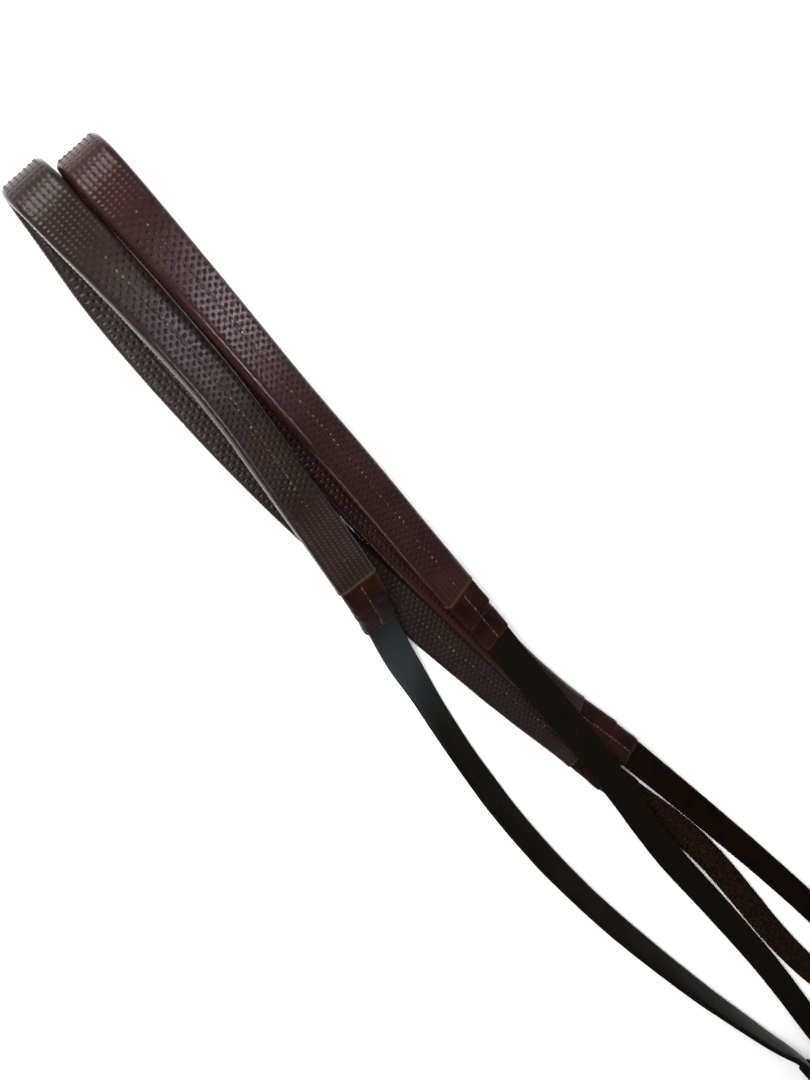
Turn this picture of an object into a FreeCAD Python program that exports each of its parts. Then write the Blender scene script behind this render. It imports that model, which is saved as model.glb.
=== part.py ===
"""Pair of rubber-grip snaffle reins, joined by their centre buckle.

Each rein is one long strap that lies folded double at the middle of its rubber grip, so both ends
point along +X. Millimetres, +Z up, the surface the reins lie on is Z = 0. The origin is the middle
of the bounding box, at the bottom.
"""
import FreeCAD, Part
import Sketcher
import math
import os

Vector = FreeCAD.Vector
Rotation = FreeCAD.Rotation
Placement = FreeCAD.Placement

os.makedirs("parts", exist_ok=True)
doc = FreeCAD.newDocument("snaffle_reins")

# ---------------------------------------------------------------------------------------------
# Driving dimensions
# ---------------------------------------------------------------------------------------------

DIMENSIONS = {
    "strap_wide": 16.0,        # plain leather strap
    "strap_thick": 3.4,
    "core_wide": 15.4,         # leather inside the rubber and the end caps
    "core_thick": 3.0,
    "grip_wide": 20.0,         # rubber sleeve
    "grip_thick": 7.0,
    "grip_bevel": 1.8,
    "cap_wide": 19.0,          # leather end caps of the rubber
    "cap_thick": 6.8,
    "cap_bevel": 1.2,
    "bit_cap_long": 35.0,
    "hand_cap_long": 50.0,
    "fold_to_bit_cap": 220.0,  # rubber from the fold to the cap on the bit side, left rein
    "bit_cap_offset": 45.0,  # how much longer that is on the right rein
    "fold_to_hand_cap": 413.0,
    "rein_offset": 34.0,       # the right rein is folded this much nearer to its hand end
    "hinge_gap": 0.4,          # between a cap and the bit-end strap that flexes beside it
    "fit_gap": 0.05,
    "eye_bore": 5.0,           # radius that the bit ring sits in
    "eye_reach": 80.6,         # from the start of the billet to the middle of its eye
    "billet_flare": 22.3,
    "billet_tip": 6.0,
    "stud_reach": 30.0,
    "loop_thick": 1.2,         # leather of the keepers
    "loop_gap": 0.3,
    "loop_long": 7.0,
    "tip_keeper_reach": 11.0,
    "free_loop_reach": 45.0,
    "stud_shank": 1.5,
    "stud_base": 4.0,
    "stud_base_thick": 0.9,
    "stud_hook_wide": 4.0,
    "stud_hook_long": 9.0,
    "stud_hook_thick": 1.4,
    "slot_half": 2.4,
    "wire": 1.5,               # radius of the buckle's wire
    "bar_gap": 0.3,
    "buckle_inside": 17.4,
    "buckle_reach": 18.0,
    "buckle_tilt": 28.0,
    "tongue_wire": 1.1,
    "tongue_long": 20.0,
    "tongue_tilt": 36.6,
    "tongue_slot": 3.2,
    "chape_thick": 3.0,
    "chape_reach": 45.0,
    "hole_radius": 1.8,
    "hole_pitch": 18.0,
    "stitch_long": 2.4,
    "stitch_wide": 0.7,
    "stitch_high": 0.2,
    "stitch_pitch": 4.0,
}

sheet = doc.addObject("Spreadsheet::Sheet", "dims")
for row, (alias, value) in enumerate(DIMENSIONS.items(), start=1):
    sheet.set(f"A{row}", alias)
    sheet.set(f"B{row}", str(value))
    sheet.setAlias(f"B{row}", alias)
doc.recompute()


def dim(alias):
    """The value of one driving dimension, read from the sheet."""
    return float(sheet.get(alias))


# ---------------------------------------------------------------------------------------------
# Where each rein lies: points of a smooth line along the middle of its strap, from the bit end
# to the hand end, each with the strap's bank in degrees (positive lifts the -Y edge on the way
# to the fold).
# ---------------------------------------------------------------------------------------------

LEFT_ROUTE = [
    (312, -36, 9.7, 90), (298, -36, 9.7, 90), (266, -40.2, 9.1, 75), (220, -43.5, 8.3, 66),
    (170, -46.5, 7.8, 57), (110, -48.5, 7.4, 49), (50, -48.8, 7.0, 46), (-10, -46, 6.8, 42),
    (-60, -40.5, 6.6, 40), (-105, -33, 6.9, 42), (-138, -26.2, 6.7, 40), (-160, -21, 7, 34),
    (-180, -17.2, 7.2, 10), (-206, -10.5, 16, -3), (-234, -4.4, 30, 0), (-268, 2, 27, 8),
    (-306, 8.6, 23, 21), (-345, 15, 23.6, 24), (-388, 18.2, 27, 23), (-426, 19.6, 28.6, 12),
    (-451.3, 20.2, 28, 3), (-451.3, 19.6, 4.4, 3), (-430, 15.6, 4.1, 1), (-395, 8.4, 3.9, 0), (-350, 4, 3.8, 0),
    (-300, 1, 3.8, 0), (-240, 0.8, 3.8, 0), (-180, 2.4, 3.8, 0), (-120, 5, 3.8, 0),
    (-80, 8, 3.8, 0), (-45, 11, 3.8, 0), (-5, 12.2, 4.0, 0), (32, 17, 2.4, 0),
    (80, 20.4, 1.8, 0), (140, 17.2, 1.8, 0), (190, 13.4, 1.8, 0), (240, 12.6, 1.8, 0),
    (290, 16, 1.8, 0), (335, 21.5, 1.8, 0), (368, 29.5, 3.5, 0), (378, 36, 15, 0),
    (364, 40.5, 26, 0), (344, 43, 22, 0), (328, 43.5, 10, 0), (314, 43.5, 8.2, 0),
    (303, 43.5, 10.2, 0), (295, 43.5, 12.1, 0), (287, 43.5, 11.3, 0), (279, 43.5, 8.7, 0),
    (268, 43.5, 8.4, 0), (250, 43.5, 8.4, 0), (226, 43.5, 8.4, 0),
]
RIGHT_ROUTE = [
    (366, -17, 3.4, 0), (346, -17, 3.4, 0), (310, -14.8, 2.2, 0), (270, -10.4, 1.8, 0),
    (220, -5.0, 1.8, 0), (160, -1.2, 1.8, 0), (110, 1.2, 3.2, 0), (70, 2.6, 6.1, 0),
    (30, 6.2, 9.2, 0), (-5, 10.4, 12.4, 0), (-35, 13.6, 17.3, 0), (-65, 16.2, 17.9, 2),
    (-95, 18.8, 17.3, 7), (-125, 20.4, 16.6, 13), (-155, 23.4, 16.0, 18), (-190, 25.2, 15.2, 21),
    (-230, 28.2, 13.8, 22), (-270, 31, 15.8, 25), (-310, 33, 19.4, 28), (-350, 35.5, 23.6, 27),
    (-388, 37.9, 27, 23), (-420, 39.6, 28.8, 12), (-444.3, 40.7, 28, 3), (-444.3, 40.6, 4.4, 3),
    (-422, 37.9, 4.1, 1), (-388, 35.2, 3.9, 0), (-350, 30.8, 3.8, 0), (-310, 26.2, 4.4, 0),
    (-270, 22.8, 6.4, -12), (-230, 20.6, 7.8, -23), (-190, 20, 7.9, -24), (-150, 20, 8.1, -25),
    (-110, 20.6, 8.3, -27), (-80, 23, 8.2, -27), (-55, 26.2, 8.2, -25), (-30, 29.2, 8.2, -20),
    (-8, 30.8, 6.8, -10), (20, 32.6, 2.4, 0), (60, 35.4, 1.8, 0), (110, 38.6, 1.8, 0),
    (160, 41.4, 1.8, 0), (200, 43.1, 3.2, 0), (222, 43.5, 4.85, 0), (250, 43.5, 4.85, 0),
]

SAMPLES_PER_SPAN = 24
MAX_STEP = 13.0
MAX_TURN = math.radians(9.0)


def spline_points(route):
    """Points of a clamped quadratic B-spline that has the route as its control points."""
    middles = [tuple((a + b) / 2 for a, b in zip(p, q)) for p, q in zip(route, route[1:])]
    knots = [route[0]] + middles[1:-1] + [route[-1]]
    points = [route[0]]
    for start, control, end in zip(knots, route[1:-1], knots[1:]):
        for step in range(1, SAMPLES_PER_SPAN + 1):
            w = step / SAMPLES_PER_SPAN
            points.append(tuple((1 - w) ** 2 * a + 2 * w * (1 - w) * b + w * w * c
                                for a, b, c in zip(start, control, end)))
    return points


class Line:
    """A rein's middle line: stations with a length along it, a place and the strap's two directions."""

    def __init__(self, route):
        points = spline_points(route)
        places = [Vector(*p[:3]) for p in points]
        self.length = [0.0]
        self.place = []
        self.side = []
        self.face = []
        for a, b in zip(places, places[1:]):
            self.length.append(self.length[-1] + (b - a).Length)
        directions = []
        for i, point in enumerate(points):
            along = places[min(i + 1, len(points) - 1)] - places[max(i - 1, 0)]
            along.normalize()
            level = Vector(0, 1, 0) - along * along.y
            level.normalize()
            turn = Rotation(along, point[3])
            side = turn.multVec(level)
            directions.append(along)
            self.place.append(places[i])
            self.side.append(side)
            self.face.append(side.cross(along))
        self.thin_out(directions)

    def thin_out(self, directions):
        """Keeps a station each MAX_STEP, or sooner where the line or the bank turns by MAX_TURN."""
        kept = [0]
        for i in range(1, len(self.length) - 1):
            last = kept[-1]
            far = self.length[i + 1] - self.length[last] > MAX_STEP
            bent = directions[i + 1].getAngle(directions[last]) > MAX_TURN
            rolled = self.side[i + 1].getAngle(self.side[last]) > MAX_TURN
            if far or bent or rolled:
                kept.append(i)
        kept.append(len(self.length) - 1)
        for name in ("length", "place", "side", "face"):
            values = getattr(self, name)
            setattr(self, name, [values[i] for i in kept])

    def fold(self):
        """The length along the line at which it turns back, its lowest X."""
        return min(zip(self.place, self.length), key=lambda pair: pair[0].x)[1]

    def at(self, length):
        """Place, side and face directions at a length, straight between two stations."""
        i = 1
        while i < len(self.length) - 1 and self.length[i] < length:
            i += 1
        w = (length - self.length[i - 1]) / (self.length[i] - self.length[i - 1])
        mix = [low * (1 - w) + high * w for low, high in (
            (self.place[i - 1], self.place[i]),
            (self.side[i - 1], self.side[i]),
            (self.face[i - 1], self.face[i]))]
        return mix

    def between(self, start, end):
        """The lengths of the stations from start to end, both ends included."""
        inner = [value for value in self.length if start + 0.2 < value < end - 0.2]
        return [start] + inner + [end]


def section(line, length, wide, thick, bevel=0.0):
    """The strap's cross-section at a length: a rectangle, or one with bevelled corners."""
    place, side, face = line.at(length)
    half_wide = wide / 2
    half_thick = thick / 2
    if bevel:
        corners = [(half_wide - bevel, -half_thick), (half_wide, -half_thick + bevel),
                   (half_wide, half_thick - bevel), (half_wide - bevel, half_thick)]
        corners += [(-u, -v) for u, v in corners]
    else:
        corners = [(half_wide, -half_thick), (half_wide, half_thick),
                   (-half_wide, half_thick), (-half_wide, -half_thick)]
    points = [place + side * u + face * v for u, v in corners]
    return Part.makePolygon(points + points[:1])


def ribbon(line, start, end, wide, thick, bevel=0.0):
    """A strap from start to end along a rein's line."""
    wires = [section(line, length, wide, thick, bevel) for length in line.between(start, end)]
    return Part.makeLoft(wires, True, True)


def pointed_ribbon(line, start, end, wide, thick, point_long):
    """A strap whose last stretch narrows to a blunt point."""
    body = ribbon(line, start, end - point_long, wide, thick)
    tip_sections = [section(line, end - point_long * (1 - w), wide * (1 - 0.75 * w ** 2), thick)
                    for w in (0.0, 0.35, 0.65, 0.85, 1.0)]
    return body.fuse(Part.makeLoft(tip_sections, True, True)).removeSplitter()


def set_feature(label, shape):
    """A sub-part whose shape is made by Part's own functions."""
    feature = doc.addObject("Part::Feature", label)
    feature.Label = label
    feature.Shape = shape
    return feature


# ---------------------------------------------------------------------------------------------
# Leather straps, rubber grips and their caps
# ---------------------------------------------------------------------------------------------

lines = {"left": Line(LEFT_ROUTE), "right": Line(RIGHT_ROUTE)}
marks = {}
for hand, line in lines.items():
    shift = dim("rein_offset") if hand == "right" else 0.0
    fold = line.fold()
    grip_start = fold - dim("fold_to_bit_cap") - (dim("bit_cap_offset") if hand == "right" else 0.0)
    grip_end = fold + dim("fold_to_hand_cap") - shift
    marks[hand] = {
        "grip_start": grip_start,
        "grip_end": grip_end,
        "core_start": grip_start - dim("bit_cap_long"),
        "core_end": grip_end + dim("hand_cap_long"),
        "end": line.length[-1],
    }


def grip_rubber(line, mark):
    """The rubber sleeve: a bevelled tube, open at both ends, round the leather core."""
    gap = 2 * dim("fit_gap")
    outside = ribbon(line, mark["grip_start"], mark["grip_end"],
                     dim("grip_wide"), dim("grip_thick"), dim("grip_bevel"))
    inside = ribbon(line, mark["grip_start"] - 1, mark["grip_end"] + 1,
                    dim("core_wide") + gap, dim("core_thick") + gap)
    return outside.cut(inside)


def end_cap(line, start, end):
    """A leather cap sewn round the core where the rubber stops."""
    gap = 2 * dim("fit_gap")
    outside = ribbon(line, start, end, dim("cap_wide"), dim("cap_thick"), dim("cap_bevel"))
    inside = ribbon(line, start - 1, end + 1, dim("core_wide") + gap, dim("core_thick") + gap)
    return outside.cut(inside)


def thread_row(line, start, end, across, over, towards):
    """A row of separate stitches lying on a surface: across is the row's place over the width."""
    stitches = []
    length = start
    while length + dim("stitch_long") < end:
        rear = line.at(length)
        front = line.at(length + dim("stitch_long"))
        wires = []
        for place, side, face in (rear, front):
            base = place + side * across + face * (towards * (over + 0.02))
            out = face * (towards * dim("stitch_high"))
            wide = side * (dim("stitch_wide") / 2)
            points = [base - wide, base + wide, base + wide + out, base - wide + out]
            wires.append(Part.makePolygon(points + points[:1]))
        stitches.append(Part.makeLoft(wires, True, True))
        length += dim("stitch_pitch")
    return stitches


def clear_rows(line, start, end, across, over, towards):
    """Rows of stitches between the line's stations, so that each one lies on a flat facet."""
    rows = []
    margin = 0.5
    stops = line.between(start, end)
    for low, high in zip(stops, stops[1:]):
        rows += thread_row(line, low + margin, high - margin / 2, across, over, towards)
    return Part.makeCompound(rows)


for hand, line in lines.items():
    mark = marks[hand]
    core = ribbon(line, mark["core_start"], mark["core_end"], dim("core_wide"), dim("core_thick"))
    set_feature(f"{hand}_grip_core", core)
    set_feature(f"{hand}_grip_rubber", grip_rubber(line, mark))
    gap = dim("fit_gap")
    set_feature(f"{hand}_bit_cap", end_cap(line, mark["core_start"], mark["grip_start"] - gap))
    set_feature(f"{hand}_hand_cap", end_cap(line, mark["grip_end"] + gap, mark["core_end"]))
    bit_strap = ribbon(line, 0.0, mark["core_start"] - dim("hinge_gap"),
                       dim("strap_wide"), dim("strap_thick"))
    set_feature(f"{hand}_bit_strap", bit_strap)
    half = dim("grip_thick") / 2
    seams = [clear_rows(line, mark["grip_start"] + 4, mark["grip_end"] - 4, 0.0, half, towards)
             for towards in (1, -1)]
    set_feature(f"{hand}_grip_stitching", Part.makeCompound(seams))
    half = dim("cap_thick") / 2
    seams = []
    for start, end in ((mark["core_start"], mark["grip_start"]), (mark["grip_end"], mark["core_end"])):
        for towards in (1, -1):
            seams.append(clear_rows(line, start + 2, end - 2, 0.0, half, towards))
    set_feature(f"{hand}_cap_stitching", Part.makeCompound(seams))

# ---------------------------------------------------------------------------------------------
# Hand ends: the left one is a pointed strap with holes, the right one carries the buckle
# ---------------------------------------------------------------------------------------------


def punch(shape, line, length, half_long, half_wide):
    """Cuts a hole through the strap: a slot whose length runs along it, or a round hole."""
    place, side, face = line.at(length)
    along = face.cross(side)
    depth = 12.0
    tools = []
    for shift in sorted({-half_long, half_long}):
        start = place + along * shift - face * (depth / 2)
        tools.append(Part.makeCylinder(half_wide, depth, start, face))
    if half_long > 0:
        corners = [place + along * u + side * v - face * (depth / 2) for u, v in (
            (-half_long, -half_wide), (half_long, -half_wide),
            (half_long, half_wide), (-half_long, half_wide))]
        tools.append(Part.Face(Part.makePolygon(corners + corners[:1])).extrude(face * depth))
    return shape.cut(tools)


left_line = lines["left"]
left_mark = marks["left"]
point_strap = pointed_ribbon(left_line, left_mark["core_end"], left_mark["end"],
                             dim("strap_wide"), dim("strap_thick"), 14.0)
USED_HOLE_FROM_TIP = 76.0
point_strap = punch(point_strap, left_line, left_mark["end"] - USED_HOLE_FROM_TIP, 3.7, 1.7)
for number in range(1, 4):
    reach = USED_HOLE_FROM_TIP - 12.0 - number * dim("hole_pitch") + dim("hole_pitch")
    point_strap = punch(point_strap, left_line, left_mark["end"] - reach, 0.0, dim("hole_radius"))
set_feature("left_hand_strap", point_strap)

right_mark = marks["right"]
buckle_strap = ribbon(lines["right"], right_mark["core_end"], right_mark["end"],
                      dim("strap_wide"), dim("strap_thick"))
set_feature("right_hand_strap", buckle_strap)

# ---------------------------------------------------------------------------------------------
# Sketch helpers for the sewn and cast pieces
# ---------------------------------------------------------------------------------------------


def origin_plane(body, role):
    """One of the body's own origin planes."""
    return [item for item in body.Origin.OriginFeatures if item.Role == role][0]


def new_sketch(body, name, role):
    """A sketch on one of the body's origin planes."""
    sketch = body.newObject("Sketcher::SketchObject", name)
    sketch.AttachmentSupport = [(origin_plane(body, role), "")]
    sketch.MapMode = "FlatFace"
    return sketch


def draw_outline(sketch, pieces):
    """Closed outline from straight pieces (two points) and arcs (start, middle, end)."""
    for piece in pieces:
        points = [Vector(u, v, 0) for u, v in piece]
        if len(points) == 2:
            sketch.addGeometry(Part.LineSegment(points[0], points[1]))
        else:
            sketch.addGeometry(Part.Arc(points[0], points[1], points[2]))


def draw_rectangle(sketch, width, height, width_expression, height_expression):
    """A rectangle about the sketch's origin whose sides follow the sheet."""
    corners = [(-width / 2, -height / 2), (width / 2, -height / 2),
               (width / 2, height / 2), (-width / 2, height / 2)]
    first = sketch.GeometryCount
    for start, end in zip(corners, corners[1:] + corners[:1]):
        sketch.addGeometry(Part.LineSegment(Vector(*start, 0), Vector(*end, 0)))
    for index in range(4):
        follow = first + (index + 1) % 4
        sketch.addConstraint(Sketcher.Constraint("Coincident", first + index, 2, follow, 1))
    for index in (0, 2):
        sketch.addConstraint(Sketcher.Constraint("Horizontal", first + index))
        sketch.addConstraint(Sketcher.Constraint("Vertical", first + index + 1))
    sketch.addConstraint(Sketcher.Constraint("Symmetric", first, 1, first + 1, 2, -1, 1))
    across = sketch.addConstraint(Sketcher.Constraint("Distance", first, width))
    sketch.setExpression(f"Constraints[{across}]", width_expression)
    upright = sketch.addConstraint(Sketcher.Constraint("Distance", first + 1, height))
    sketch.setExpression(f"Constraints[{upright}]", height_expression)


def pad_both_ways(body, name, sketch, expression):
    """A pad of the sketch, half of it on each side of its plane."""
    pad = body.newObject("PartDesign::Pad", name)
    pad.Profile = sketch
    pad.SideType = "Symmetric"
    pad.setExpression("Length", expression)
    return pad


def keeper_loop(label, inside_high, high_expression, placement):
    """A closed leather loop round two layers of strap; it runs along its own X."""
    body = doc.addObject("PartDesign::Body", label)
    body.Label = label
    sketch = new_sketch(body, f"{label}_outline", "YZ_Plane")
    wide = dim("strap_wide") + 2 * dim("loop_gap")
    wide_expression = "dims.strap_wide + 2 * dims.loop_gap"
    wall = 2 * dim("loop_thick")
    draw_rectangle(sketch, wide + wall, inside_high + wall,
                   f"{wide_expression} + 2 * dims.loop_thick",
                   f"{high_expression} + 2 * dims.loop_thick")
    draw_rectangle(sketch, wide, inside_high, wide_expression, high_expression)
    pad_both_ways(body, f"{label}_leather", sketch, "dims.loop_long")
    body.Placement = placement
    return body


# ---------------------------------------------------------------------------------------------
# Bit ends: the billet turned round the bit ring, its hook stud and its two keepers
# ---------------------------------------------------------------------------------------------


def billet_pieces():
    """Outline of the turned billet: the strap, the eye and the return that hooks on the stud."""
    half = dim("strap_thick") / 2
    thick = dim("strap_thick")
    bore = dim("eye_bore")
    reach = dim("eye_reach")
    middle = half + bore
    lift = half + 2 * dim("fit_gap")
    flare = reach - dim("billet_flare")
    angle = math.radians(115)
    outer = bore + thick

    def on_eye(radius, turn):
        return reach + radius * math.cos(turn), middle + radius * math.sin(turn)

    tip = dim("billet_tip")
    mid_turn = (angle - math.pi / 2) / 2
    return [
        [(0, -half), (reach, -half)],
        [(reach, -half), on_eye(outer, mid_turn), on_eye(outer, angle)],
        [on_eye(outer, angle), (flare, lift + thick)],
        [(flare, lift + thick), (tip, lift + thick)],
        [(tip, lift + thick), (tip, lift)],
        [(tip, lift), (flare, lift)],
        [(flare, lift), on_eye(bore, angle)],
        [on_eye(bore, angle), on_eye(bore, mid_turn), (reach, half)],
        [(reach, half), (0, half)],
        [(0, half), (0, -half)],
    ]


def bit_billet(hand, placement):
    """The billet, with the hole for the stud's shank and the slot that slips over its hook."""
    body = doc.addObject("PartDesign::Body", f"{hand}_bit_billet")
    body.Label = f"{hand}_bit_billet"
    profile = new_sketch(body, f"{hand}_billet_profile", "XZ_Plane")
    draw_outline(profile, billet_pieces())
    pad_both_ways(body, f"{hand}_billet_leather", profile, "dims.strap_wide")
    hole = new_sketch(body, f"{hand}_stud_hole", "XY_Plane")
    stud = dim("stud_reach")
    radius = dim("slot_half")
    hole.addGeometry(Part.Circle(Vector(stud, 0, 0), Vector(0, 0, 1), radius))
    size = hole.addConstraint(Sketcher.Constraint("Radius", 0, radius))
    hole.setExpression(f"Constraints[{size}]", "dims.slot_half")
    pocket = body.newObject("PartDesign::Pocket", f"{hand}_stud_pocket")
    pocket.Profile = hole
    pocket.SideType = "Symmetric"
    pocket.Type = "ThroughAll"
    body.Placement = placement
    return body


def hook_stud(hand, placement):
    """A stud with a round base on the grain side and a hook that holds the return."""
    label = f"{hand}_hook_stud"
    base_low = -(dim("strap_thick") / 2) - dim("stud_base_thick") - dim("fit_gap")
    base = doc.addObject("Part::Cylinder", f"{label}_base")
    base.setExpression("Radius", "dims.stud_base")
    base.setExpression("Height", "dims.stud_base_thick")
    base.Placement = Placement(Vector(dim("stud_reach"), 0, base_low), Rotation())
    shank = doc.addObject("Part::Cylinder", f"{label}_shank")
    shank.setExpression("Radius", "dims.stud_shank")
    shank.setExpression("Height", "dims.strap_thick * 2 + dims.stud_base_thick + 0.6")
    shank.Placement = Placement(Vector(dim("stud_reach"), 0, base_low), Rotation())
    hook = doc.addObject("Part::Box", f"{label}_hook")
    hook.setExpression("Length", "dims.stud_hook_long")
    hook.setExpression("Width", "dims.stud_hook_wide")
    hook.setExpression("Height", "dims.stud_hook_thick")
    hook_low = base_low + dim("strap_thick") * 2 + dim("stud_base_thick") + 0.4
    hook.Placement = Placement(
        Vector(dim("stud_reach") - 2.5, -dim("stud_hook_wide") / 2, hook_low), Rotation())
    stud = doc.addObject("Part::MultiFuse", label)
    stud.Shapes = [base, shank, hook]
    stud.Label = label
    stud.Placement = placement
    return stud


def beside(frame, along, face):
    """A placement in a straight stretch's own directions, moved along and off its middle."""
    return frame.multiply(Placement(Vector(along, 0, face), Rotation()))


subparts = []
pair_high = 2 * dim("strap_thick") + 2 * dim("fit_gap") + 2 * dim("loop_gap")
pair_expression = "2 * dims.strap_thick + 2 * dims.fit_gap + 2 * dims.loop_gap"
layer_middle = dim("strap_thick") / 2 + dim("fit_gap")
for hand, roll in (("left", 90), ("right", 0)):
    end_place = lines[hand].place[0]
    frame = Placement(end_place, Rotation(Vector(1, 0, 0), roll))
    bit_billet(hand, frame)
    hook_stud(hand, frame)
    for name, reach in (("tip_keeper", "tip_keeper_reach"), ("billet_loop", "free_loop_reach")):
        centre = dim(reach) + dim("loop_long") / 2
        keeper_loop(f"{hand}_{name}", pair_high, pair_expression,
                    beside(frame, centre, layer_middle))

# ---------------------------------------------------------------------------------------------
# Centre buckle on the right hand end
# ---------------------------------------------------------------------------------------------

chape_start = lines["right"].place[-1]
chape_frame = Placement(chape_start, Rotation())
bar_place = chape_start + Vector(dim("chape_reach"), 0, 0)


def chape_pieces():
    """Outline of the strap end turned round the buckle's bar and back under itself."""
    reach = dim("chape_reach")
    half = dim("strap_thick") / 2
    thick = dim("chape_thick")
    inner = dim("wire") + dim("bar_gap")
    outer = inner + thick
    rise = reach - 18
    return [
        [(0, -half), (rise - 1, -half)],
        [(rise - 1, -half), (reach - 4, inner)],
        [(reach - 4, inner), (reach, inner)],
        [(reach, inner), (reach + inner, 0), (reach, -inner)],
        [(reach, -inner), (8, -inner)],
        [(8, -inner), (8, -outer)],
        [(8, -outer), (reach, -outer)],
        [(reach, -outer), (reach + outer, 0), (reach, outer)],
        [(reach, outer), (reach - 4, outer)],
        [(reach - 4, outer), (rise, half)],
        [(rise, half), (0, half)],
        [(0, half), (0, -half)],
    ]


chape = doc.addObject("PartDesign::Body", "buckle_chape")
chape.Label = "buckle_chape"
chape_profile = new_sketch(chape, "chape_profile", "XZ_Plane")
draw_outline(chape_profile, chape_pieces())
pad_both_ways(chape, "chape_leather", chape_profile, "dims.strap_wide")
chape_slot = new_sketch(chape, "chape_slot", "XZ_Plane")
reach = dim("chape_reach")
slot_corners = [(reach - 4.5, -2.9), (reach + 6, -2.9), (reach + 6, 6), (reach - 4.5, 6)]
draw_outline(chape_slot, [list(pair) for pair in zip(slot_corners, slot_corners[1:] + slot_corners[:1])])
slot_pocket = chape.newObject("PartDesign::Pocket", "chape_slot_pocket")
slot_pocket.Profile = chape_slot
slot_pocket.SideType = "Symmetric"
slot_pocket.setExpression("Length", "dims.tongue_slot")
chape.Placement = chape_frame


def rod(label, radius, radius_expression, start, end):
    """A round rod between two points, as a Part cylinder."""
    piece = doc.addObject("Part::Cylinder", label)
    piece.Radius = radius
    piece.setExpression("Radius", radius_expression)
    piece.Height = (end - start).Length
    piece.Placement = Placement(start, Rotation(Vector(0, 0, 1), end - start))
    return piece


def ball(label, centre):
    """A ball as thick as the buckle's wire, which rounds a corner of the frame."""
    piece = doc.addObject("Part::Sphere", label)
    piece.setExpression("Radius", "dims.wire")
    piece.Placement = Placement(centre, Rotation())
    return piece


half_inside = dim("buckle_inside") / 2 + dim("wire")
corners = [Vector(0, -half_inside, 0), Vector(dim("buckle_reach"), -half_inside, 0),
           Vector(dim("buckle_reach"), half_inside, 0), Vector(0, half_inside, 0)]
frame_pieces = []
for index, (start, end) in enumerate(zip(corners, corners[1:] + corners[:1])):
    frame_pieces.append(rod(f"buckle_side_{index}", dim("wire"), "dims.wire", start, end))
    frame_pieces.append(ball(f"buckle_corner_{index}", start))
buckle = doc.addObject("Part::MultiFuse", "buckle_frame")
buckle.Shapes = frame_pieces
buckle.Label = "buckle_frame"
buckle.Placement = Placement(bar_place, Rotation(Vector(0, 1, 0), -dim("buckle_tilt")))

ring_outer = dim("wire") + dim("bar_gap") / 3 + dim("tongue_wire") * 0.9
ring = doc.addObject("Part::Cylinder", "tongue_ring")
ring.Radius = ring_outer
ring.setExpression("Height", "dims.tongue_wire * 2")
ring.Placement = Placement(Vector(0, dim("tongue_wire"), 0), Rotation(Vector(1, 0, 0), 90))
prong = rod("tongue_prong", dim("tongue_wire"), "dims.tongue_wire",
            Vector(ring_outer - 0.6, 0, 0), Vector(dim("tongue_long"), 0, 0))
tongue_solid = doc.addObject("Part::MultiFuse", "tongue_solid")
tongue_solid.Shapes = [ring, prong]
bar_hole = doc.addObject("Part::Cylinder", "tongue_hole")
bar_hole.setExpression("Radius", "dims.wire + dims.bar_gap / 3")
bar_hole.Height = 10
bar_hole.Placement = Placement(Vector(0, 5, 0), Rotation(Vector(1, 0, 0), 90))
tongue = doc.addObject("Part::Cut", "buckle_tongue")
tongue.Base = tongue_solid
tongue.Tool = bar_hole
tongue.Label = "buckle_tongue"
tongue.Placement = Placement(bar_place, Rotation(Vector(0, 1, 0), -dim("tongue_tilt")))

# A fixed keeper bridges both straps beside the buckle; a running loop goes right round them.
bridge = doc.addObject("PartDesign::Body", "buckle_keeper")
bridge.Label = "buckle_keeper"
bridge_sketch = new_sketch(bridge, "bridge_outline", "YZ_Plane")
inner_half = dim("strap_wide") / 2 + 0.15
outer_half = inner_half + dim("loop_thick")
bridge_low = -dim("wire") - dim("bar_gap") - dim("chape_thick")
bridge_top = dim("strap_thick") * 1.5 + 2 * dim("fit_gap") + 0.25
bridge_corners = [(-outer_half, bridge_low), (-outer_half, bridge_top + dim("loop_thick")),
                  (outer_half, bridge_top + dim("loop_thick")), (outer_half, bridge_low),
                  (inner_half, bridge_low), (inner_half, bridge_top),
                  (-inner_half, bridge_top), (-inner_half, bridge_low)]
draw_outline(bridge_sketch, [list(pair) for pair in
                             zip(bridge_corners, bridge_corners[1:] + bridge_corners[:1])])
pad_both_ways(bridge, "bridge_leather", bridge_sketch, "dims.loop_long")
KEEPER_REACH = 14.0
bridge.Placement = beside(chape_frame, KEEPER_REACH, 0)

RUNNING_LOOP_REACH = -9.0
keeper_loop("running_loop", pair_high, pair_expression,
            beside(chape_frame, RUNNING_LOOP_REACH, layer_middle))

chape_stitches = []
for across in (-5.5, 5.5):
    for number in range(6):
        low = Vector(2.5 + number * 2.4, across - dim("stitch_wide") / 2, dim("strap_thick") / 2 + 0.02)
        chape_stitches.append(Part.makeBox(1.7, dim("stitch_wide"), 0.06, chape_start + low))
set_feature("chape_stitching", Part.makeCompound(chape_stitches))

# ---------------------------------------------------------------------------------------------
# Check and write
# ---------------------------------------------------------------------------------------------

doc.recompute()
NODES = ["buckle_frame", "buckle_tongue", "buckle_chape", "buckle_keeper", "running_loop",
         "chape_stitching", "left_hand_strap", "right_hand_strap"]
for hand in ("left", "right"):
    NODES += [f"{hand}_{name}" for name in (
        "bit_strap", "bit_billet", "hook_stud", "tip_keeper", "billet_loop", "bit_cap",
        "hand_cap", "grip_rubber", "grip_core", "grip_stitching", "cap_stitching")]

for item in doc.Objects:
    if "Invalid" in item.State or "Error" in item.State:
        raise RuntimeError(f"{item.Name}: {item.State}")

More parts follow.
